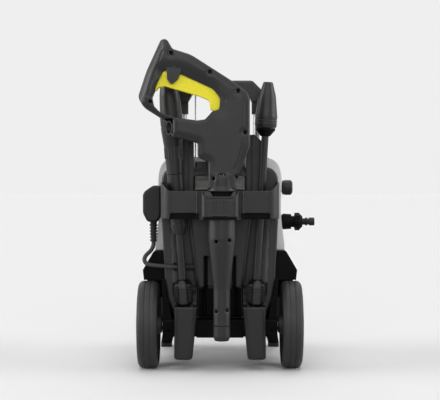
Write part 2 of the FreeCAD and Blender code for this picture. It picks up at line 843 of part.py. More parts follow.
def nose_cut():
    """The hose socket's mouth looks sideways and a little backward."""
    block = box(-60, 0, -60, 60, -16, 15.2)
    block.rotate(Vector(), Z, 26)
    block.translate(at_gun(hose_x, hose_z))
    return block


def gun_posts():
    """Screw posts between the two shells, each kept inside the gun's skin."""
    posts = []
    for x, z in gun_screw_places:
        posts.append(rod(screw_radius + 1.4, at_gun(x, z, -gun_half_thickness - 8),
                         at_gun(x, z, gun_half_thickness + 8)))
    for x, z in (trigger_pivot, lock_pivot):
        posts.append(rod(5, at_gun(x, z, trigger_half_width + 0.6), at_gun(x, z, gun_half_thickness)))
    posts.append(rod(5, at_gun(*trigger_pivot, -gun_half_thickness),
                     at_gun(*trigger_pivot, -trigger_half_width - 0.6)))
    return posts


def gun_shells():
    half = gun_half_thickness
    skin = plate_y(gun_outline(), gun_y - half, gun_y + half)
    skin = rounded(skin, 5, lambda c: abs(abs(c.y - gun_y) - half) < 0.01 and c.z > 323)
    shoulder = rod(barrel_top_radius + 2, Vector(gun_x, gun_y, holder_top + slip),
                   Vector(gun_x, gun_y, holder_top + 5))
    skin = fuse([skin, barrel(0), shoulder])
    face = Part.Face(outline(gun_outline(), lambda x, z: at_gun(x, z, gun_wall - half)))
    core = face.makeOffset2D(-gun_wall).extrude(Y * 2 * (half - gun_wall))
    core = core.fuse(barrel(gun_wall))
    opening_face = Part.Face(outline(finger_opening, lambda x, z: at_gun(x, z, -half - 1)))
    opening = opening_face.extrude(Y * (2 * half + 2))
    rim = opening_face.makeOffset2D(gun_wall).extrude(Y * (2 * half + 2))
    width = trigger_half_width + 0.5
    slot = plate_y([
        (-113, 474, 3), (-112, 508, 10), (-94, 540, 10), (-62, 536, 20), (8, 504, 20), (25, 478, 6),
        (18, 456, 6), (-16, 450, 3), (-30, 470, 0)], gun_y - width, gun_y + width)
    lock_room = box(-98, -56, gun_y - half + gun_wall, gun_y, 494, 545)
    posts = fuse(gun_posts()).common(skin)
    core = core.cut(rim).fuse([slot, lock_room.common(core)])
    hollow = core.cut(posts)
    socket = rod(hose_bore + 2.5 + fit, at_gun(hose_x - 20, hose_z),
                 at_gun(hose_x + hose_depth + 16, hose_z))
    valve = rod(valve_radius + fit, Vector(gun_x, gun_y, valve_base), Vector(gun_x, gun_y, valve_top))
    holes = []
    for x, z in gun_screw_places:
        holes.append(rod(screw_radius, at_gun(x, z, -half - 12), at_gun(x, z, -5)))
        holes.append(rod(screw_shank_radius, at_gun(x, z, -6), at_gun(x, z, 7)))
    holes.append(rod(2.5, at_gun(*trigger_pivot, -half + 1.2), at_gun(*trigger_pivot, half - 1.2)))
    holes.append(rod(2 + fit, at_gun(*lock_pivot, -half + 1.2), at_gun(*lock_pivot, -trigger_half_width)))
    whole = cut(skin, [hollow, opening, socket, valve, nose_cut()] + holes)
    middle = box(-200, 200, gun_y, gun_y + 100, 0, 700)
    outer = whole.cut(middle)
    inner = whole.common(middle)
    return max(outer.Solids, key=lambda s: s.Volume), max(inner.Solids, key=lambda s: s.Volume)


def gun_screws():
    screws = []
    for x, z in gun_screw_places:
        head = rod(screw_head_radius, at_gun(x, z, -7.5), at_gun(x, z, -5))
        screws.append(head.fuse(rod(screw_shank_radius, at_gun(x, z, -5), at_gun(x, z, 6))))
    return screws


def trigger():
    x, z = trigger_pivot
    half = trigger_half_width
    blade = plate_y([
        (-112.6, 480, 1.5), (-109, 503, 10), (-101, 524, 6), (-89, 532, 6), (-64, 525, 12), (-8, 499, 25),
        (19, 483, 8), (20, 463, 7), (4, 458, 4), (-9, 453.7, 3), (-16.5, 457.5, 2), (-18.4, 472.6, 7),
        (-34, 479.5, 10), (-94, 497, 9), (-106, 494.6, 5)], gun_y - half, gun_y + half)
    blade = rounded(blade, 1.2, lambda c: abs(abs(c.y - gun_y) - half) < 0.01)
    hollow = box(-90, -14, gun_y - half + 3, gun_y + half - 3, 505, 540).common(blade)
    return blade.cut([hollow, rod(2.5 + fit, at_gun(x, z, -20), at_gun(x, z, 20))])


def trigger_lock():
    x, z = lock_pivot
    near = -gun_half_thickness + gun_wall + slip
    tongue = plate_y([(-91, 532, 5), (-64, 527, 5), (-71.5, 508, 5), (-82.5, 498.5, 4), (-90, 508, 5)],
                     gun_y + near, gun_y - trigger_half_width - slip)
    return tongue.fuse(rod(2, at_gun(x, z, -gun_half_thickness + 1.4), at_gun(x, z, near + 1)))


def gun_works():
    x, z = trigger_pivot
    reach = gun_half_thickness - 1.2
    export("trigger_pin", rod(2.5, at_gun(x, z, -reach), at_gun(x, z, reach)))
    body = rod(valve_radius, Vector(gun_x, gun_y, valve_base), Vector(gun_x, gun_y, valve_top))
    bore = rod(gun_pipe_radius + fit, Vector(gun_x, gun_y, valve_base),
               Vector(gun_x, gun_y, valve_top - 12))
    export("gun_valve", body.cut(bore))
    export("gun_pipe", rod(gun_pipe_radius, Vector(gun_x, gun_y, barrel_end + bayonet_length + 14 + fit),
                           Vector(gun_x, gun_y, valve_base + 20)))
    socket = rod(hose_bore + 2.5, at_gun(hose_x - 20, hose_z), at_gun(hose_x + hose_depth + 16, hose_z))
    neck = rod(6, at_gun(hose_x + hose_depth + 15, hose_z), at_gun(gun_x - valve_radius - slip, hose_z))
    bore = rod(hose_bore, at_gun(hose_x - 21, hose_z), at_gun(hose_x + hose_depth, hose_z))
    feed = rod(3, at_gun(hose_x, hose_z), at_gun(gun_x, hose_z))
    socket = cut(socket.fuse(neck), [bore, feed, nose_cut()])
    export("hose_socket", socket)
    seam = barrel_end + bayonet_length
    tip = barrel_tip_radius
    plug = turned([(bayonet_bore, barrel_end + 1, 0.8), (tip - 3, barrel_end, 2), (tip, barrel_end + 8, 8),
                   (tip, seam - slip, 0), (tip - gun_wall - slip, seam - slip, 0),
                   (tip - gun_wall - slip, seam + 14, 0), (0, seam + 14, 0), (0, barrel_end + 32, 0),
                   (bayonet_bore, barrel_end + 32, 0)])
    plug.translate(Vector(gun_x, gun_y, 0))
    export("gun_bayonet", plug)


# ---------------------------------------------------------------- lances

def lance_start(side):
    """The low end's middle, raised so that the tilted stem just clears the cup's floor."""
    lean = math.hypot(math.tan(math.radians(lance_lean_back)), math.tan(math.radians(vario_lean_out)))
    return Vector(side * lance_x, lance_y, cup_floor + slip + lance_stem_radius * lean)


def lance_direction(side, lean_out):
    out = math.tan(math.radians(lean_out))
    back = math.tan(math.radians(lance_lean_back))
    return Vector(side * out, -back, 1).normalize()


def lance_grip():
    """The bayonet end and its knurled hand grip with a smooth web in front."""
    a = lance_grip_start
    b = a + lance_grip_length
    r = lance_grip_radius
    stem = lance_stem_radius
    body = turned([
        (lance_bore, 0, 0), (stem, 0, 1.5), (stem, a - 3, 0), (r - 3, a, 2), (r - 1, a + 4, 0),
        (r - 1, b - 8, 8),
        (lance_tube_radius + 3, b, 3), (lance_tube_radius, b, 0), (lance_tube_radius, a, 0),
        (lance_bore, a, 0)])
    lugs = [rod(2.2, Vector(0, s * (stem - 1), 12), Vector(0, s * (stem + 2), 12)) for s in (1, -1)]
    teeth = []
    count = 20
    for i in range(count):
        turn = math.radians(i * 360 / count)
        if abs(math.sin(turn)) < 0.8:
            centre = Vector((r - 1) * math.cos(turn), (r - 1) * math.sin(turn), a + 5)
            teeth.append(rod(1.1, centre, centre + Z * (b - a - 16)))
    web = plate_y([(-9, a + 1, 2), (9, a + 1, 2), (9, b - 6, 8.8), (-9, b - 6, 8.8)], -r - 0.8,
                  -lance_tube_radius - 2)
    web = web.common(turned([(0, a, 0), (r + 0.6, a, 2), (r + 0.6, b - 10, 10), (r - 6, b - 4, 0),
                             (0, b - 4, 0)]))
    return fuse([body, web] + lugs + teeth)


def lance_pipe(length):
    start = Z * (lance_grip_start)
    pipe = rod(lance_tube_radius, start, Z * length)
    return pipe.cut(rod(lance_bore, start, Z * length))


def vario_body():
    a, b, r = vario_sleeve_start, vario_split, vario_sleeve_radius
    tube = lance_tube_radius
    body = turned([
        (tube, a, 0), (tube + 4, a, 1.5), (r - 1, a + 9, 4), (r, a + 16, 0), (r, a + 18, 0),
        (r - 0.8, a + 18.6, 0),
        (r - 0.8, a + 20.4, 0), (r, a + 21, 0), (r, b, 1), (tube, b, 0)])
    return body


def vario_head():
    b, r, big = vario_split + slip, vario_sleeve_radius, vario_head_radius
    end = vario_length
    swell = b + 44 + (end - vario_widest - b - 44) * 0.6
    line = end - vario_widest - 16
    tube = lance_tube_radius + slip
    body = turned([
        (tube, b, 0), (r + 0.4, b, 1), (r + 1, b + 26, 0), (r + 1.4, b + 44, 40), (big - 0.6, swell, 30),
        (big, end - vario_widest, 40), (big - 2, end - 28, 30), (big - 6, end, 3), (nozzle_radius, end, 0),
        (nozzle_radius, end - 30, 0), (tube, end - 30, 0)])
    teeth = []
    count = 18
    for i in range(count):
        turn = math.radians(i * 360 / count)
        centre = Vector((r + 1.2) * math.cos(turn), (r + 1.2) * math.sin(turn), b + 28)
        teeth.append(rod(1.1, centre, centre + Z * 20))
    ring = turned([(big - 4, line, 0), (big + 1, line, 0), (big + 1, line + 1.2, 0),
                   (big - 4, line + 1.2, 0)])
    skin = turned([(big - 1.4, line - 1, 0), (big + 2, line - 1, 0), (big + 2, line + 2, 0),
                   (big - 1.4, line + 2, 0)])
    return fuse([body] + teeth).cut(ring.common(skin))


def vario_nozzle():
    end = vario_length - 4
    return turned([(2, end - 26, 0), (nozzle_radius - slip, end - 26, 0), (nozzle_radius - slip, end, 1.5),
                   (2, end, 0)])


def rotor_neck():
    a, r, tube = rotor_head_start - 11, rotor_head_radius, lance_tube_radius
    return turned([(tube, a, 0), (tube + 2, a, 1), (r - 2.5, a + 11, 2), (r - 2.5, a + 15, 0),
                   (tube, a + 15, 0)])


def rotor_cap():
    a, r, end = rotor_head_start + 4 + slip, rotor_head_radius, rotor_length
    wall = 3
    groove = 0.8
    profile = [
        (lance_tube_radius + slip, a, 0), (r - 1, a, 1.5), (r, a + 6, 0), (r, a + 8, 0),
        (r - groove, a + 8.4, 0),
        (r - groove, a + 9.6, 0), (r, a + 10, 0), (r, a + 13, 0), (r - groove, a + 13.4, 0),
        (r - groove, a + 14.6, 0), (r, a + 15, 0), (r, a + 20, 30), (r - 4.6, end - 24, 60),
        (8.2, end, 2.5),
        (5, end, 0), (5, end - 12, 0), (r - 5 - wall, end - 30, 20), (r - wall, a + 20, 10),
        (r - wall, a + 4, 0),
        (lance_tube_radius + slip, a + 4, 0)]
    return turned(profile)


def rotor_core():
    """The nozzle that spins inside the cap."""
    a, end = rotor_head_start + 8 + 2 * slip, rotor_length
    return turned([(1.5, a + 6, 0), (11, a + 6, 1), (11, a + 30, 3), (4.6, end - 16, 1), (4.6, end - 2, 1),
                   (1.5, end - 2, 0)])


def lances():
    rotor = lance_direction(1, rotor_lean_out)
    vario = lance_direction(-1, vario_lean_out)
    pieces = [
        ("rotor_grip", lance_grip(), rotor, 1),
        ("rotor_pipe", lance_pipe(rotor_head_start + 13), rotor, 1),
        ("rotor_neck", rotor_neck(), rotor, 1),
        ("rotor_cap", rotor_cap(), rotor, 1),
        ("rotor_core", rotor_core(), rotor, 1),
        ("vario_grip", lance_grip(), vario, -1),
        ("vario_pipe", lance_pipe(vario_length - 31), vario, -1),
        ("vario_body", vario_body(), vario, -1),
        ("vario_head", vario_head(), vario, -1),
        ("vario_nozzle", vario_nozzle(), vario, -1)]
    for node, shape, direction, side in pieces:
        export(node, lay_along(shape, lance_start(side), direction))


# ---------------------------------------------------------------- connectors

def flank(x, z):
    return Vector(x, port_y, z)


def turned_x(corners, z):
    """A solid of revolution about a connector's axis from (x, radius, corner radius) points."""
    face = Part.Face(outline(corners, lambda x, r: Vector(x, port_y, z + r)))
    return face.revolve(flank(0, z), X, 360)


def connectors():
    face = casing_half_width + slip + 0.6
    export("pressure_outlet", turned_x([
        (head_reach, outlet_bore, 0), (head_reach, 9, 0), (outlet_end - 6, 9, 1),
        (outlet_end - 6, outlet_bore, 0)],
        outlet_z))
    r = outlet_radius
    export("outlet_collar", turned_x([
        (face + outlet_travel, 9 + slip, 0), (face + outlet_travel, r - 1, 1.5), (face + 9, r, 4),
        (outlet_end - 3, r, 3), (outlet_end, r - 4, 2), (outlet_end, 9 + slip, 0)], outlet_z))
    r = inlet_radius
    stub_end = inlet_nut_start + 8
    export("inlet_stub", turned_x([
        (head_reach, nipple_bore, 0), (head_reach, 9, 0), (face + 1.2, 9, 0), (face + 1.2, r - 3, 0),
        (face + 4, r, 1.5),
        (inlet_nut_start - 6, r - 1, 1.5), (inlet_nut_start - 6, 10.5, 0), (stub_end, 10.5, 0),
        (stub_end, nipple_bore, 0)], inlet_z))
    nut = turned_x([
        (inlet_nut_start, 10.5 + slip, 0), (inlet_nut_start, inlet_nut_radius - 1.2, 1),
        (inlet_nut_end - 5, inlet_nut_radius - 1.2, 2), (inlet_nut_end, inlet_nut_radius - 6, 2),
        (inlet_nut_end, nipple_radius - 1.5 + slip, 0), (inlet_nut_end - 4, nipple_radius - 1.5 + slip, 0),
        (inlet_nut_end - 4, 10.5 + slip, 0)], inlet_z)
    ribs = []
    for i in range(8):
        turn = math.radians(i * 45)
        centre = flank(inlet_nut_start + 0.5, inlet_z) + Vector(
            0, math.cos(turn), math.sin(turn)) * (inlet_nut_radius - 1.8)
        ribs.append(rod(2.4, centre, centre + X * (inlet_nut_end - inlet_nut_start - 6)))
    export("inlet_nut", fuse([nut] + ribs))
    r = nipple_radius
    start = stub_end + slip
    end = nipple_end
    export("inlet_nipple", turned_x([
        (start, nipple_bore, 0), (start, 10, 0), (inlet_nut_end - 4 - slip, 10, 0),
        (inlet_nut_end - 4 - slip, r - 1.5, 0), (end - 18, r - 1.5, 0), (end - 16, r, 0), (end - 13, r, 0),
        (end - 13, r - 2, 0), (end - 10, r - 2, 0), (end - 10, r, 0), (end, r, 1), (end, nipple_bore, 0)],
        inlet_z))


# ---------------------------------------------------------------- plug and cord

cord_route = [
    Vector(plug_x, plug_y, boot_end), Vector(plug_x, plug_y, 214), Vector(plug_x - 17, plug_y - 13, 200),
    Vector(plug_x - 14, plug_y - 20, 187), Vector(plug_x + 9, plug_y - 22.2, gland_z + 2.5),
    Vector(plug_x + 38.5, plug_y - 22.2, gland_z), Vector(plug_x + 48, gland_y, gland_z),
    Vector(gland_x - gland_length, gland_y, gland_z)]


def cord():
    """The cord's tube: straight runs joined by tangent arcs."""
    edges = []
    here = cord_route[0]
    for before, corner, after in zip(cord_route, cord_route[1:], cord_route[2:]):
        back = before - corner
        ahead = after - corner
        half = back.getAngle(ahead) / 2
        reach = 0.45 * min(back.Length, ahead.Length)
        radius = reach * math.tan(half)
        back.normalize()
        ahead.normalize()
        middle = corner + (back + ahead).normalize() * (radius / math.sin(half) - radius)
        edges.append(Part.LineSegment(here, corner + back * reach).toShape())
        edges.append(Part.Arc(corner + back * reach, middle, corner + ahead * reach).toShape())
        here = corner + ahead * reach
        print(f"cord bend radius {radius:.1f}")
    edges.append(Part.LineSegment(here, cord_route[-1]).toShape())
    path = Part.Wire(edges)
    start = cord_route[1] - cord_route[0]
    section = Part.Wire([Part.makeCircle(cord_radius, cord_route[0], start)])
    tube = path.makePipeShell([section], True, True)
    section_volume = math.pi * cord_radius ** 2 * path.Length
    print(f"cord volume {tube.Volume:.0f}, section times length {section_volume:.0f}")
    return tube


def plug():
    half = plug_width / 2
    body = plate_y([
        (plug_face, plug_base + 12, 2), (plug_face - 8, plug_base, 4), (plug_back + 8, plug_base, 7),
        (plug_back, plug_base + 16, 16), (plug_back, plug_top - 13, 14), (plug_face - 15, plug_top, 14),
        (plug_face, plug_top - 1, 2)], plug_y - half, plug_y + half)
    body = rounded(body, 5, lambda c: abs(abs(c.y - plug_y) - half) < 0.01 and c.x < plug_face - 1)
    export("plug_body", body)
    pins = [box(plug_face, plug_face + length, y - w, y + w, z - h, z + h)
            for y, z, w, h, length in plug_pin_places()]
    export("plug_pins", pins)
    profile = [(cord_bore, boot_end, 0), (boot_radius - 2.2, boot_end, 0.5)]
    rings = 6
    pitch = (plug_base - boot_end - 4) / rings
    for i in range(rings):
        z = boot_end + 1.5 + i * pitch
        r = boot_radius - boot_taper * (1 - i / (rings - 1))
        profile += [(r - 1.8, z, 0), (r, z + 0.6, 0), (r, z + pitch - 2.4, 0),
                    (r - 1.8, z + pitch - 1.8, 0)]
    profile += [(boot_radius - 1, plug_base, 0), (cord_bore, plug_base, 0)]
    boot = turned(profile)
    boot.translate(Vector(plug_x, plug_y, 0))
    export("plug_boot", boot)
    export("power_cord", cord())
    gland = turned_x([(0, cord_radius, 0), (0, cord_radius + 1.6, 1), (gland_length, gland_radius, 0),
                      (gland_length, cord_radius, 0)], 0)
    gland.translate(Vector(gland_x - gland_length, gland_y - port_y, gland_z))
    export("cord_gland", gland)


# ---------------------------------------------------------------- motor, pump and switch

def works():
    centre = Vector(motor_x, motor_y, 0)
    z0 = motor_base
    z1 = z0 + motor_height
    z2 = z1 + pump_height
    z3 = z2 + head_height
    can = rod(motor_radius, centre + Z * z0, centre + Z * z1)
    can = can.cut([rod(motor_radius - 26, centre + Z * (z0 + 6), centre + Z * (z1 + 1))])
    feet = [box(-motor_radius * 0.7, motor_radius * 0.7, motor_y - 12, motor_y + 12, tub_base + tub_wall,
                z0 + 1)]
    export("motor_stator", fuse([can] + feet))
    armature = rod(motor_radius - 27, centre + Z * (z0 + 14), centre + Z * (z1 - 8))
    shaft = rod(shaft_radius, centre + Z * (z0 + 6 + slip), centre + Z * (z1 + 22))
    export("motor_rotor", armature.fuse(shaft).removeSplitter())
    case = rod(motor_radius - 4, centre + Z * z1, centre + Z * z2)
    case = case.cut([rod(shaft_radius + fit, centre + Z * (z1 - 1), centre + Z * (z1 + 8)),
                     rod(motor_radius - 16, centre + Z * (z1 + 8), centre + Z * (z2 + 1))])
    export("pump_case", case)
    plate = rod(motor_radius - 20, centre + Z * (z1 + 12), centre + Z * (z1 + 26))
    plate = plate.cut(rod(shaft_radius, centre + Z * (z1 + 11), centre + Z * (z1 + 22)))
    tilt = box(-100, 100, -100, 100, 0, 60)
    tilt.rotate(Vector(), Y, 8)
    tilt.translate(centre + Z * (z1 + 24))
    export("swash_plate", plate.cut(tilt))
    head = Part.Face(rounded_rectangle(96, 84, motor_x, motor_y - 8, z2, 16)).extrude(Z * head_height)
    bosses = [rod(13, flank(20, z), flank(head_reach, z)) for z in (outlet_z, inlet_z)]
    head = fuse([head] + bosses)
    bores = [rod(head_bore, flank(0, z), flank(head_reach + 1, z)) for z in (outlet_z, inlet_z)]
    wells = [rod(6, centre + Vector(22 * math.cos(a), 22 * math.sin(a), z2 - 1),
                 centre + Vector(22 * math.cos(a), 22 * math.sin(a), z2 + 50))
             for a in (math.radians(d) for d in (150, 210, 270))]
    export("pump_head", cut(head, bores + wells))
    foot = Vector(-30, motor_y + motor_radius + 34, tub_base + tub_wall)
    export("capacitor", rod(19, foot, foot + Z * 84))
    back = casing_front - 15 - casing_wall - 2 * slip
    export("switch_box", box(-26, 26, back - 34, back, switch_z - 22, switch_z + 22))
    knob_start = casing_front - 4
    bezel = rod(switch_radius + 4, Vector(0, back, switch_z), Vector(0, knob_start - slip, switch_z))
    bezel = bezel.cut([casing(0), rod(4 + slip, Vector(0, back - 1, switch_z),
                                     Vector(0, knob_start, switch_z))])
    export("switch_bezel", bezel)
    knob = Part.makeCone(switch_radius, switch_radius - 3, 12, Vector(0, knob_start, switch_z), Y)
    grip = box(-4, 4, knob_start + 11, knob_start + 17, switch_z - switch_radius + 4,
               switch_z + switch_radius - 4)
    stem = rod(4, Vector(0, back + slip, switch_z), Vector(0, knob_start + 1, switch_z))
    export("switch_knob", fuse([knob, grip, stem]))


export("rear_housing", rear_housing())
running_gear()
export("base_frame", base_frame())
export("front_feet", both(foot_pad()))
export("front_housing", front_housing())
export("accessory_holder", accessory_holder())
for name, side in (("right", 1), ("left", -1)):
    export(f"guide_{name}", guide(side))
for name, tube in zip(("right", "left"), both(handle_tube())):
    export(f"handle_tube_{name}", tube)
export("handle_grip", handle_grip())
export("handle_button", handle_button())
export("latch_rod", latch_rod())
outer_shell, inner_shell = gun_shells()
export("gun_shell_outer", outer_shell)
export("gun_shell_inner", inner_shell)
export("gun_screws", gun_screws())
export("trigger", trigger())
export("trigger_lock", trigger_lock())
gun_works()
lances()
connectors()
plug()
works()
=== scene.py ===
"""The looks of an upright pressure washer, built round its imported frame."""

import json
import math

import bmesh
import bpy
import numpy as np
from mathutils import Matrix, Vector

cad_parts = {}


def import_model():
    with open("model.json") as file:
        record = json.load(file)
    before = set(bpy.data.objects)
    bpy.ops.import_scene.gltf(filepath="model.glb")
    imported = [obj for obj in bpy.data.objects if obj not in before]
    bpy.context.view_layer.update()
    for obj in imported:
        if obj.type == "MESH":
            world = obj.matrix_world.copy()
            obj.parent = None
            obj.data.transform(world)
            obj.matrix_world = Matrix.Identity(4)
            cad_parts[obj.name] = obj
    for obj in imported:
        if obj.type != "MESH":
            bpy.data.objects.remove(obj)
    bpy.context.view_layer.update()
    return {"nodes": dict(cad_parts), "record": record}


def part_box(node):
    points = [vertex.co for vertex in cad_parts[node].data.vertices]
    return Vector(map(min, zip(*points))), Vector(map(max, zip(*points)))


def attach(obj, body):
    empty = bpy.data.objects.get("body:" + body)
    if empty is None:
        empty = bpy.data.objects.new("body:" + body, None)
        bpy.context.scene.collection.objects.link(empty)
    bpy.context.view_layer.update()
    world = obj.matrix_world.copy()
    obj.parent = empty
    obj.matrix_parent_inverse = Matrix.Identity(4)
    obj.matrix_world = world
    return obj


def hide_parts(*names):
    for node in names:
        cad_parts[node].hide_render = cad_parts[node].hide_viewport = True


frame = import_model()

# ---------------------------------------------------------------- sizes and places, in metres

eye_distance = 2.1
eye_height = 0.324
eye_tilt = math.radians(0.614)
lens_mm = 95.5

cord_diameter = 0.0075
backdrop = (0.862, 0.862, 0.862)


# ---------------------------------------------------------------- materials

sockets = {"specular": "Specular IOR Level", "metallic": "Metallic"}


class Finish:
    """A procedural material, whose nodes are added round its Principled shader."""

    def __init__(self, name, colour, roughness, **values):
        self.material = bpy.data.materials.new(name)
        self.material.use_nodes = True
        self.tree = self.material.node_tree
        self.shader = self.tree.nodes["Principled BSDF"]
        self.shader.inputs["Base Color"].default_value = (*colour, 1)
        self.shader.inputs["Roughness"].default_value = roughness
        for socket, value in values.items():
            self.shader.inputs[sockets[socket]].default_value = value
        self.colour = colour
        self.roughness = roughness
        self.place = self.node("ShaderNodeTexCoord").outputs["Object"]
        self.normal = None

    def node(self, kind, **settings):
        made = self.tree.nodes.new(kind)
        for key, value in settings.items():
            setattr(made, key, value)
        return made

    def link(self, source, target):
        self.tree.links.new(source, target)

    def noise(self, scale, detail=3.0, rough=0.5, stretch=None):
        """A noise field; scale is in features per metre."""
        made = self.node("ShaderNodeTexNoise")
        made.inputs["Scale"].default_value = scale
        made.inputs["Detail"].default_value = detail
        made.inputs["Roughness"].default_value = rough
        place = self.place
        if stretch:
            mapping = self.node("ShaderNodeMapping")
            mapping.inputs["Scale"].default_value = stretch
            self.link(place, mapping.inputs["Vector"])
            place = mapping.outputs["Vector"]
        self.link(place, made.inputs["Vector"])
        return made.outputs["Fac"]

    def spread(self, source, low, high, start=0.3, end=0.7):
        """Maps a field to values between low and high."""
        made = self.node("ShaderNodeMapRange")
        made.inputs["From Min"].default_value = start
        made.inputs["From Max"].default_value = end
        made.inputs["To Min"].default_value = low
        made.inputs["To Max"].default_value = high
        self.link(source, made.inputs["Value"])
        return made.outputs["Result"]

    def tint(self, mask, colour):
        """Blends another colour over what the base colour has so far, where the mask is high."""
        made = self.node("ShaderNodeMix", data_type="RGBA")
        base = self.shader.inputs["Base Color"]
        if base.is_linked:
            self.link(base.links[0].from_socket, made.inputs["A"])
        else:
            made.inputs["A"].default_value = base.default_value
        made.inputs["B"].default_value = (*colour, 1)
        self.link(mask, made.inputs["Factor"])
        self.link(made.outputs["Result"], base)

    def rough(self, field, low, high, start=0.3, end=0.7):
        self.link(self.spread(field, low, high, start, end), self.shader.inputs["Roughness"])

    def soft_edges(self, radius):
        """Rounds every edge for the light, and returns how far a point is on an edge."""
        made = self.node("ShaderNodeBevel", samples=4)
        made.inputs["Radius"].default_value = radius
        self.normal = made.outputs["Normal"]
        self.link(self.normal, self.shader.inputs["Normal"])
        true = self.node("ShaderNodeNewGeometry").outputs["Normal"]
        product = self.node("ShaderNodeVectorMath", operation="DOT_PRODUCT")
        self.link(made.outputs["Normal"], product.inputs[0])
        self.link(true, product.inputs[1])
        return self.spread(product.outputs["Value"], 1, 0, 0.90, 0.995)

    def bump(self, height, distance, strength=1.0):
        made = self.node("ShaderNodeBump")
        made.inputs["Distance"].default_value = distance
        made.inputs["Strength"].default_value = strength
        self.link(height, made.inputs["Height"])
        if self.normal is not None:
            self.link(self.normal, made.inputs["Normal"])
        self.normal = made.outputs["Normal"]
        self.link(self.normal, self.shader.inputs["Normal"])


def scaled(colour, factor):
    return tuple(min(1.0, c * factor) for c in colour)


def moulded(name, colour, roughness, grain=0.00006, wear_and_highlight=0.35, edge=0.0012, specular=0.22):
    """Injection moulded plastic: fine spark grain, faint flow mottling, and edges lightened by wear
    and by a painted highlight.
    """
    finish = Finish(name, colour, roughness, specular=specular)
    edges = finish.soft_edges(edge)
    finish.tint(finish.spread(finish.noise(11, 4), 0, 0.5), scaled(colour, 0.8))
    finish.tint(finish.spread(finish.noise(260, 2), 0, 0.35), scaled(colour, 1.25))
    scuffs_and_highlight = finish.spread(finish.noise(90, 5, 0.7), 0.2, wear_and_highlight)
    product = finish.node("ShaderNodeMath", operation="MULTIPLY")
    finish.link(edges, product.inputs[0])
    finish.link(scuffs_and_highlight, product.inputs[1])
    # edges lightened: part scuff wear, part painted highlight standing in for the gloss on rounded
    # edges
    finish.tint(product.outputs["Value"], scaled([c + 0.012 for c in colour], 2.6))
    finish.rough(finish.noise(60, 4), roughness - 0.06, roughness + 0.07)
    finish.bump(finish.noise(1500, 2), grain)
    return finish.material


def metal(name, colour, roughness, brushed=None):
    finish = Finish(name, colour, roughness, metallic=1.0)
    finish.soft_edges(0.0005)
    finish.tint(finish.spread(finish.noise(35, 4), 0, 0.5), scaled(colour, 0.82))
    grain = finish.noise(400, 3, 0.6, brushed or (1, 1, 1))
    finish.rough(grain, roughness - 0.07, roughness + 0.09)
    finish.bump(grain, 0.00003)
    return finish.material


materials = {
    "charcoal": moulded("charcoal_plastic", (0.0128, 0.0128, 0.0124), 0.36, wear_and_highlight=0.9, specular=0.26),
    "black": moulded("black_plastic", (0.0020, 0.0020, 0.0020), 0.5, wear_and_highlight=0.9, specular=0.05),
    "casing": moulded("pale_casing", (0.62, 0.62, 0.605), 0.34, grain=0.00003, wear_and_highlight=0.1),
    # painted highlight: a paler charcoal on the holder's web and the trough walls, which are paler
    # than the rest in the photograph; it stands in for their gloss
    "painted_sheen": moulded("charcoal_painted_sheen", (0.075, 0.075, 0.073), 0.40, wear_and_highlight=0.6, specular=0.25),
    "wheel": moulded("wheel_plastic", (0.022, 0.022, 0.022), 0.52, grain=0.0001, specular=0.26),
    "trigger": moulded("yellow_plastic", (0.735, 0.655, 0.022), 0.33, grain=0.00002, wear_and_highlight=0.05),
    "tube": metal("anodised_tube", (0.42, 0.42, 0.43), 0.36, (1, 1, 0.05)),
    "steel": metal("zinc_plate", (0.55, 0.55, 0.56), 0.34),
    "brass": metal("turned_brass", (0.72, 0.53, 0.25), 0.26),
    "alloy": metal("cast_alloy", (0.58, 0.58, 0.57), 0.46),
    "motor": moulded("motor_varnish", (0.05, 0.05, 0.055), 0.36, grain=0.00004),
    "rubber": moulded("black_rubber", (0.013, 0.013, 0.013), 0.62, grain=0.0001, wear_and_highlight=0.1),
    "cord": moulded("cord_sheath", (0.035, 0.035, 0.035), 0.55, grain=0.0001, wear_and_highlight=0.0, edge=0.0004),
    "pin": metal("plug_pin", (0.75, 0.62, 0.35), 0.25),
}
body_of = {}
for body, members in frame["record"]["behaviour"]["bodies"].items():
    for node in members:
        body_of[node] = body
slot_of = {row["node"]: row["material_slot"] for row in frame["record"]["subparts"]}
for node, piece in frame["nodes"].items():
    piece.data.materials.clear()
    piece.data.materials.append(materials[slot_of[node]])
frame["nodes"]["gun_screws"].data.materials[0] = metal("blackened_screw", (0.012, 0.012, 0.012), 0.5)
frame["nodes"]["trigger_lock"].data.materials[0] = materials["charcoal"]
satin_black = moulded("satin_black_plastic", (0.008, 0.008, 0.008), 0.42, wear_and_highlight=0.2, specular=0.20)
for node in ("plug_body", "outlet_collar", "inlet_nipple", "pressure_outlet", "hose_socket"):
    frame["nodes"][node].data.materials[0] = satin_black


# ---------------------------------------------------------------- stage

def toward(azimuth, height):
    """A unit vector at an azimuth from the viewer's right, raised by a height angle, in degrees."""
    a = math.radians(azimuth)
    h = math.radians(height)
    return Vector((math.cos(a) * math.cos(h), -math.sin(a) * math.cos(h), math.sin(h)))


# each lamp: azimuth (0 right, 90 behind the viewer, 180 left), height, level, softness in degrees
lamps = {
    "front_bank": (90, 30, 0.46, 60),
    "overhead": (90, 85, 0.37, 60),
    "rear_overhead": (270, 60, 0.20, 60),
    "left_bank": (174, 14, 0.80, 45),
    "right_bank": (6, 14, 0.64, 45),
}
ambient = 0.03


def floor():
    """Pale floor, whose colour gives the backdrop's brightness where nothing shades it."""
    level = ambient
    for _, height, power, _ in lamps.values():
        level += power * math.sin(math.radians(height))
    colour = tuple(c / level for c in backdrop)
    half = 60.0
    mesh = bpy.data.meshes.new("floor")
    corners = [(-half, -half, 0), (half, -half, 0), (half, half, 0), (-half, half, 0)]
    mesh.from_pydata(corners, [], [(0, 1, 2, 3)])
    piece = bpy.data.objects.new("floor", mesh)
    bpy.context.scene.collection.objects.link(piece)
    finish = Finish("studio_floor", colour, 1.0, specular=0.0)
    finish.tint(finish.spread(finish.noise(0.4, 1), 0, 0.02), scaled(colour, 0.99))
    mesh.materials.append(finish.material)


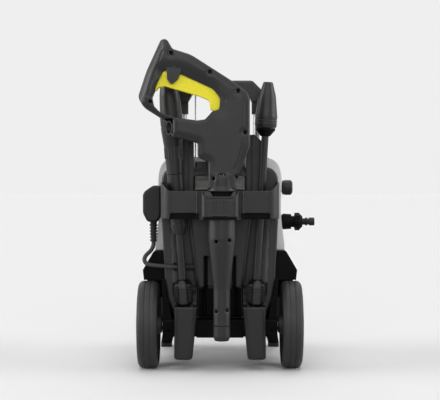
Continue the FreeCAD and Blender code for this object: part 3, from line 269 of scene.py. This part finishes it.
def lamp(name, azimuth, height, level, softness):
    """A far lamp that gives a level of 1 to a surface that faces it."""
    data = bpy.data.lights.new(name, "SUN")
    data.energy = level * math.pi
    data.angle = math.radians(softness)
    made = bpy.data.objects.new(name, data)
    made.rotation_euler = toward(azimuth, height).to_track_quat("Z", "Y").to_euler()
    bpy.context.scene.collection.objects.link(made)


def world():
    made = bpy.data.worlds.new("studio")
    made.use_nodes = True
    tree = made.node_tree
    background = tree.nodes["Background"]
    path = tree.nodes.new("ShaderNodeLightPath")
    seen = path.outputs["Is Camera Ray"]
    for ray in ("Is Glossy Ray", "Is Transmission Ray"):
        either = tree.nodes.new("ShaderNodeMath")
        either.operation = "MAXIMUM"
        tree.links.new(seen, either.inputs[0])
        tree.links.new(path.outputs[ray], either.inputs[1])
        seen = either.outputs["Value"]
    mix = tree.nodes.new("ShaderNodeMix")
    mix.data_type = "RGBA"
    mix.inputs["A"].default_value = (ambient, ambient, ambient, 1)
    mix.inputs["B"].default_value = (*backdrop, 1)
    tree.links.new(seen, mix.inputs["Factor"])
    tree.links.new(mix.outputs["Result"], background.inputs["Color"])
    bpy.context.scene.world = made


def camera():
    data = bpy.data.cameras.new("camera")
    data.lens = lens_mm
    data.sensor_width = 36
    data.clip_start = 0.05
    data.clip_end = 100
    made = bpy.data.objects.new("camera", data)
    made.location = (0, -eye_distance, eye_height)
    made.rotation_euler = (math.pi / 2 - eye_tilt, 0, 0)
    bpy.context.scene.collection.objects.link(made)
    bpy.context.scene.camera = made


floor()
world()
for name, values in lamps.items():
    lamp(name, *values)
camera()
bpy.context.scene.view_settings.view_transform = "Standard"


# ---------------------------------------------------------------- cord

def power_cord():
    plug_x, plug_y, boot_end = -0.1195, 0.002, 0.226
    gland_x, gland_y, gland_z, gland_length = -0.0435, -0.014, 0.182, 0.024
    route = [
        (plug_x, plug_y, boot_end), (plug_x, plug_y, 0.214), (plug_x - 0.017, plug_y - 0.013, 0.200),
        (plug_x - 0.014, plug_y - 0.020, 0.187), (plug_x + 0.009, plug_y - 0.0222, gland_z + 0.0025),
        (plug_x + 0.0385, plug_y - 0.0222, gland_z), (plug_x + 0.048, gland_y, gland_z),
        (gland_x - gland_length, gland_y, gland_z)]
    curve = bpy.data.curves.new("power_lead", "CURVE")
    curve.dimensions = "3D"
    curve.bevel_depth = cord_diameter / 2
    curve.bevel_resolution = 6
    curve.resolution_u = 16
    curve.use_fill_caps = True
    spline = curve.splines.new("NURBS")
    spline.points.add(len(route) - 1)
    for point, place in zip(spline.points, route):
        point.co = (*place, 1)
    spline.order_u = 3
    spline.use_endpoint_u = True
    piece = bpy.data.objects.new("power_lead", curve)
    bpy.context.scene.collection.objects.link(piece)
    curve.materials.append(materials["cord"])
    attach(piece, "machine")
    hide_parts("power_cord")


power_cord()

# ---------------------------------------------------------------- fine shaping of moulded pieces

def fine_copy(name, node, voxel, smoothing=4):
    """Stands an even, fine copy of a CAD node's mesh in its place, ready to be shaped further."""
    source = frame["nodes"][node]
    shape = bmesh.new()
    shape.from_mesh(source.data)
    shape.transform(source.matrix_world)
    bmesh.ops.remove_doubles(shape, verts=shape.verts, dist=1e-6)
    mesh = bpy.data.meshes.new(name)
    shape.to_mesh(mesh)
    shape.free()
    piece = bpy.data.objects.new(name, mesh)
    bpy.context.scene.collection.objects.link(piece)
    remesh = piece.modifiers.new("even", "REMESH")
    remesh.mode = "VOXEL"
    remesh.voxel_size = voxel
    smooth = piece.modifiers.new("smooth", "SMOOTH")
    smooth.factor = 0.5
    smooth.iterations = smoothing
    evaluated = piece.evaluated_get(bpy.context.evaluated_depsgraph_get())
    fine = bpy.data.meshes.new_from_object(evaluated)
    piece.modifiers.clear()
    piece.data = fine
    fine.materials.clear()
    fine.materials.append(materials[slot_of[node]])
    fine.shade_smooth()
    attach(piece, body_of[node])
    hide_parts(node)
    return piece


def places(piece):
    values = np.empty(len(piece.data.vertices) * 3)
    piece.data.vertices.foreach_get("co", values)
    return values.reshape(-1, 3)


def put(piece, values):
    piece.data.vertices.foreach_set("co", values.ravel())
    piece.data.update()


def paint(piece, slot, choose):
    """Gives a second finish to the faces that choose(middle, normal) picks."""
    piece.data.materials.append(materials[slot])
    index = len(piece.data.materials) - 1
    for face in piece.data.polygons:
        if choose(face.center, face.normal):
            face.material_index = index


def distance(x, z, line):
    """Distance in a side view from each place to a line of points."""
    nearest = np.full(len(x), 9.0)
    for (x0, z0), (x1, z1) in zip(line, line[1:]):
        dx, dz = x1 - x0, z1 - z0
        along = np.clip(((x - x0) * dx + (z - z0) * dz) / (dx * dx + dz * dz), 0, 1)
        nearest = np.minimum(nearest, np.hypot(x - x0 - along * dx, z - z0 - along * dz))
    return nearest


def within(x, z, loop):
    """Which places lie inside a closed line of points in a side view."""
    inside = np.zeros(len(x), bool)
    for (x0, z0), (x1, z1) in zip(loop, loop[1:] + loop[:1]):
        crosses = (z0 > z) != (z1 > z)
        inside ^= crosses & (x < x0 + (z - z0) * (x1 - x0) / (z1 - z0 + 1e-12))
    return inside


def fall(distances, reach):
    """1 on a line, and down to 0 along a parabola at its reach."""
    return np.clip(1 - distances / reach, 0, 1) ** 2


def face_loops(node, side):
    """The closed edges, as lines of points in side view, of a node's flat face on one side in Y."""
    shape = bmesh.new()
    shape.from_mesh(frame["nodes"][node].data)
    bmesh.ops.remove_doubles(shape, verts=shape.verts, dist=1e-6)
    flat = [f for f in shape.faces if side * f.normal.y > 0.999]
    level = max(flat, key=lambda f: f.calc_area()).calc_center_median().y
    on_face = {f for f in flat if abs(f.calc_center_median().y - level) < 0.0003}
    border = [e for e in shape.edges if sum(f in on_face for f in e.link_faces) == 1]
    loops = []
    left = set(border)
    while left:
        edge = left.pop()
        start, here = edge.verts
        line = [start, here]
        while here is not start:
            following = [e for e in here.link_edges if e in left]
            if not following:
                break
            left.discard(following[0])
            here = following[0].other_vert(here)
            line.append(here)
        loops.append([(v.co.x, v.co.z) for v in line])
    shape.free()
    return sorted(loops, key=lambda line: -sum(math.dist(a, b) for a, b in zip(line, line[1:])))


# lines on the gun in side view, as (x, z)
barrel_x = 0.003
grip_crease = [
    (-0.0975, 0.5560), (-0.1044, 0.5364), (-0.1112, 0.5194), (-0.1180, 0.4990), (-0.1225, 0.4810)]
grip_back = [(-0.0965, 0.5870), (-0.1260, 0.5220), (-0.1405, 0.4780)]
trigger_arch = [
    (-0.1000, 0.5220), (-0.0680, 0.5190), (-0.0100, 0.4930), (0.0060, 0.4740), (0.0020, 0.4570)]
body_seam = [
    (0.0300, 0.4860), (0.0420, 0.4720), (0.0428, 0.4280), (0.0377, 0.3960), (0.0310, 0.3705),
    (0.0240, 0.3500)]


def relax(piece, low, high, rounds):
    """Smooths a piece between two heights, moving no place further than a thin wall allows."""
    fade = 0.004
    furthest = 0.0009
    values = places(piece)
    band = np.clip((values[:, 2] - low) / fade, 0, 1) * np.clip((high - values[:, 2]) / fade, 0, 1)
    edges = np.empty(len(piece.data.edges) * 2, dtype=np.int32)
    piece.data.edges.foreach_get("vertices", edges)
    a, b = edges.reshape(-1, 2).T
    count = np.bincount(np.concatenate((a, b)), minlength=len(values))[:, None]
    for _ in range(rounds):
        total = np.zeros_like(values)
        for axis in range(3):
            total[:, axis] = np.bincount(a, values[b, axis], len(values))
            total[:, axis] += np.bincount(b, values[a, axis], len(values))
        values += 0.5 * band[:, None] * (total / count - values)
    moved = values - places(piece)
    far = np.maximum(np.linalg.norm(moved, axis=1) / furthest, 1)
    put(piece, places(piece) + moved / far[:, None])


def gun_cover(name, node, side):
    """A gun shell with crowned edges, a creased grip, a hollow over the trigger, a body seam, and
    near-black painted shade in the groove under the barrel's bead.
    """
    barrel_top = 0.330
    shade_band_low, shade_band_high = 0.3075, 0.3162
    piece = fine_copy(name, node, 0.0011)
    values = places(piece)
    x, z = values[:, 0], values[:, 2]
    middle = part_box("gun_shell_outer")[1][1]
    out = side * (values[:, 1] - middle)
    rim, opening = face_loops(node, side)[:2]
    grip = np.clip((-0.080 - x) / 0.020, 0, 1)
    arch = np.clip((0.006 - x) / 0.030, 0.25, 1)
    from_rim = np.where(within(x, z, rim), distance(x, z, rim), 0)
    from_opening = np.where(within(x, z, opening), 0, distance(x, z, opening))
    depth = 0.0030 * fall(from_rim, 0.009) * np.clip((z - 0.348) / 0.02, 0, 1)
    depth += 0.0055 * grip * fall(distance(x, z, grip_back) - 0.004, 0.014)
    depth = np.maximum(depth, 0.0022 * fall(from_opening, 0.006))
    depth = np.maximum(depth, 0.0074 * arch * fall(distance(x, z, trigger_arch), 0.023))
    depth += 0.0020 * fall(distance(x, z, grip_crease), 0.0055)
    depth += 0.0012 * fall(distance(x, z, body_seam), 0.0022)
    depth[z < barrel_top] = 0
    values[:, 1] -= side * depth * np.clip((out - 0.004) / 0.010, 0, 1)
    bead = np.exp(-((z - 0.3180) / 0.0012) ** 2)
    bead -= 0.8 * (abs(z - 0.3118) < 0.0042)
    across = values[:, :2] - (barrel_x, middle)
    values[:, :2] += across / np.linalg.norm(across, axis=1)[:, None] * 0.0014 * bead[:, None]
    put(piece, values)
    relax(piece, 0.337, 0.360, 24)
    # painted shade: near-black in the groove under the bead, for the dark gap above the holder's
    # collar
    paint(piece, "black", lambda c, n: shade_band_low < c.z < shade_band_high)


gun_cover("gun_cover_outer", "gun_shell_outer", -1)
gun_cover("gun_cover_inner", "gun_shell_inner", 1)


def holder_cover():
    """The holder: a lower collar before the barrel, rising ends, and near-black painted shade on its
    inner faces and along its lower edges.
    """
    collar_top = 0.3085
    piece = fine_copy("holder_cover", "accessory_holder", 0.0010, smoothing=2)
    low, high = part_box("accessory_holder")
    strap_top = high.z - 0.016
    base = 0.297
    values = places(piece)
    x, y, z = values.T
    share = np.clip((z - base) / (strap_top - base), 0, 1)
    collar = np.clip((0.031 - abs(x)) / 0.004, 0, 1) * np.clip((-0.112 - y) / 0.006, 0, 1)
    z -= collar * share * (strap_top - collar_top)
    rise = 0.015 * np.clip((abs(x) - 0.083) / 0.018, 0, 1) ** 2
    rise -= 0.016 * np.clip((y + 0.054) / 0.024, 0, 1)
    z += share * np.clip(rise, 0, 1) * (y > -0.085)
    put(piece, values)
    # painted shade: near-black along the band's lower edge, under the collar's front, on faces turned
    # towards the machine, and on the inner faces of the sides and ends
    paint(piece, "black", lambda c, n: (
        c.z < low.z + 0.0105 and 0.036 < abs(c.x) < 0.088 and c.y < -0.060
        or c.z < low.z + 0.006 and abs(c.x) < 0.031 and c.y < low.y + 0.004
        or n.y > 0.5 or abs(c.x) > 0.060 and n.x * c.x < -0.04
        or abs(c.x) > 0.080 and c.y > -0.100 and c.z > 0.318 and n.y < -0.5 and n.x * c.x < 0.01))


def sloped_plate(name, side_view, half_width, thickness, finish):
    """A moulded plate across the machine. Its side view is a line of (y, z) on its upper face."""
    shape = bmesh.new()
    rows = []
    for i, (y, z) in enumerate(side_view):
        before = side_view[max(i - 1, 0)]
        after = side_view[min(i + 1, len(side_view) - 1)]
        along = Vector((0, after[0] - before[0], after[1] - before[1])).normalized()
        under = along.cross(Vector((1, 0, 0))) * thickness
        edge = [Vector((side * half_width, y, z)) for side in (-1, 1)]
        rows.append([shape.verts.new(v) for v in (edge[0], edge[1], edge[1] + under, edge[0] + under)])
    for a, b in zip(rows, rows[1:]):
        for k in range(4):
            shape.faces.new((a[k], a[k - 3], b[k - 3], b[k]))
    shape.faces.new(rows[0][::-1])
    shape.faces.new(rows[-1])
    bmesh.ops.recalc_face_normals(shape, faces=shape.faces)
    mesh = bpy.data.meshes.new(name)
    shape.to_mesh(mesh)
    shape.free()
    piece = bpy.data.objects.new(name, mesh)
    bpy.context.scene.collection.objects.link(piece)
    bevel = piece.modifiers.new("edges", "BEVEL")
    bevel.width = thickness * 0.4
    bevel.segments = 3
    bevel.limit_method = "ANGLE"
    mesh.materials.append(materials[finish])
    mesh.shade_smooth()
    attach(piece, "machine")
    return piece


def holder_web():
    """The hollow-curved web that carries the holder's collar from the rear panel."""
    steps = 14
    panel_y, foot_z = -0.0265, 0.3195
    reach, rise = 0.0440, 0.0245
    curve = []
    for i in range(steps + 1):
        turn = math.pi / 2 * i / steps
        curve.append((
            panel_y - reach * (1 - math.cos(turn)), foot_z + rise * (1 - math.sin(turn))))
    # painted highlight: the web takes the paler charcoal that stands in for its gloss
    sloped_plate("holder_web", curve, 0.0435, 0.0028, "painted_sheen")


def lance_grip(name, node, foot_x, lean):
    """The foot of a lance: a smooth tongue in front, and near-black painted shade at its sides,
    striped with charcoal teeth.
    """
    tongue_half = 0.0068
    tooth_start = 0.0085
    tooth_pitch = 0.0028
    piece = fine_copy(name, node, 0.0008, smoothing=2)
    low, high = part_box(node)
    round_top = high.z - 0.0090

    def painted_shade(middle, normal):
        off = abs(middle.x - foot_x - lean * (middle.z - low.z))
        in_front = middle.y < (low.y + high.y) / 2
        tongue = math.hypot(off, max(0, middle.z - round_top)) < tongue_half and in_front
        tooth = off > tooth_start and (middle.z / tooth_pitch) % 1 < 0.4 and middle.z < round_top
        return not tongue and not tooth

    # painted shade: near-black on all but the tongue and the teeth
    paint(piece, "black", painted_shade)


def rear_cover():
    """The rear housing, with sloped trough walls in a paler charcoal as a painted highlight, and
    near-black painted shade in the recesses in the middle.
    """
    piece = fine_copy("rear_cover", "rear_housing", 0.0014, smoothing=2)
    values = places(piece)
    x, y, z = values.T
    back = -0.016
    floor_y = back + 0.010
    wall = 0.083 + 0.0055 * (z - 0.130) / 0.154
    reach = 0.010
    lift = 0.0085
    up = np.clip((abs(x) - wall + reach) / reach, 0, 1) * (abs(x) < wall + 0.0005)
    ends = np.clip((z - 0.150) / 0.012, 0, 1) * np.clip((0.284 - z) / 0.008, 0, 1)
    near_floor = abs(y - floor_y) < 0.0012
    y -= near_floor * ends * up * lift
    put(piece, values)
    # painted highlight: the paler charcoal on the trough walls stands in for their gloss
    paint(piece, "painted_sheen", lambda c, n: (
        0.070 < abs(c.x) < 0.092 and 0.155 < c.z < 0.281 and n.y < -0.3 and n.x * c.x < -0.018))
    # painted shade: near-black in the recess under the centre panel and in the slots beside the barrel
    paint(piece, "black", lambda c, n: (
        c.z < 0.1425 and abs(c.x) < 0.0385 and c.y > -0.045
        or 0.0210 < abs(c.x) < 0.0285 and 0.1425 < c.z < 0.203))


rear_cover()
holder_cover()
holder_web()
lance_grip("vario_foot", "vario_grip", -0.0604, -0.0627)
lance_grip("rotor_foot", "rotor_grip", 0.0608, 0.048)
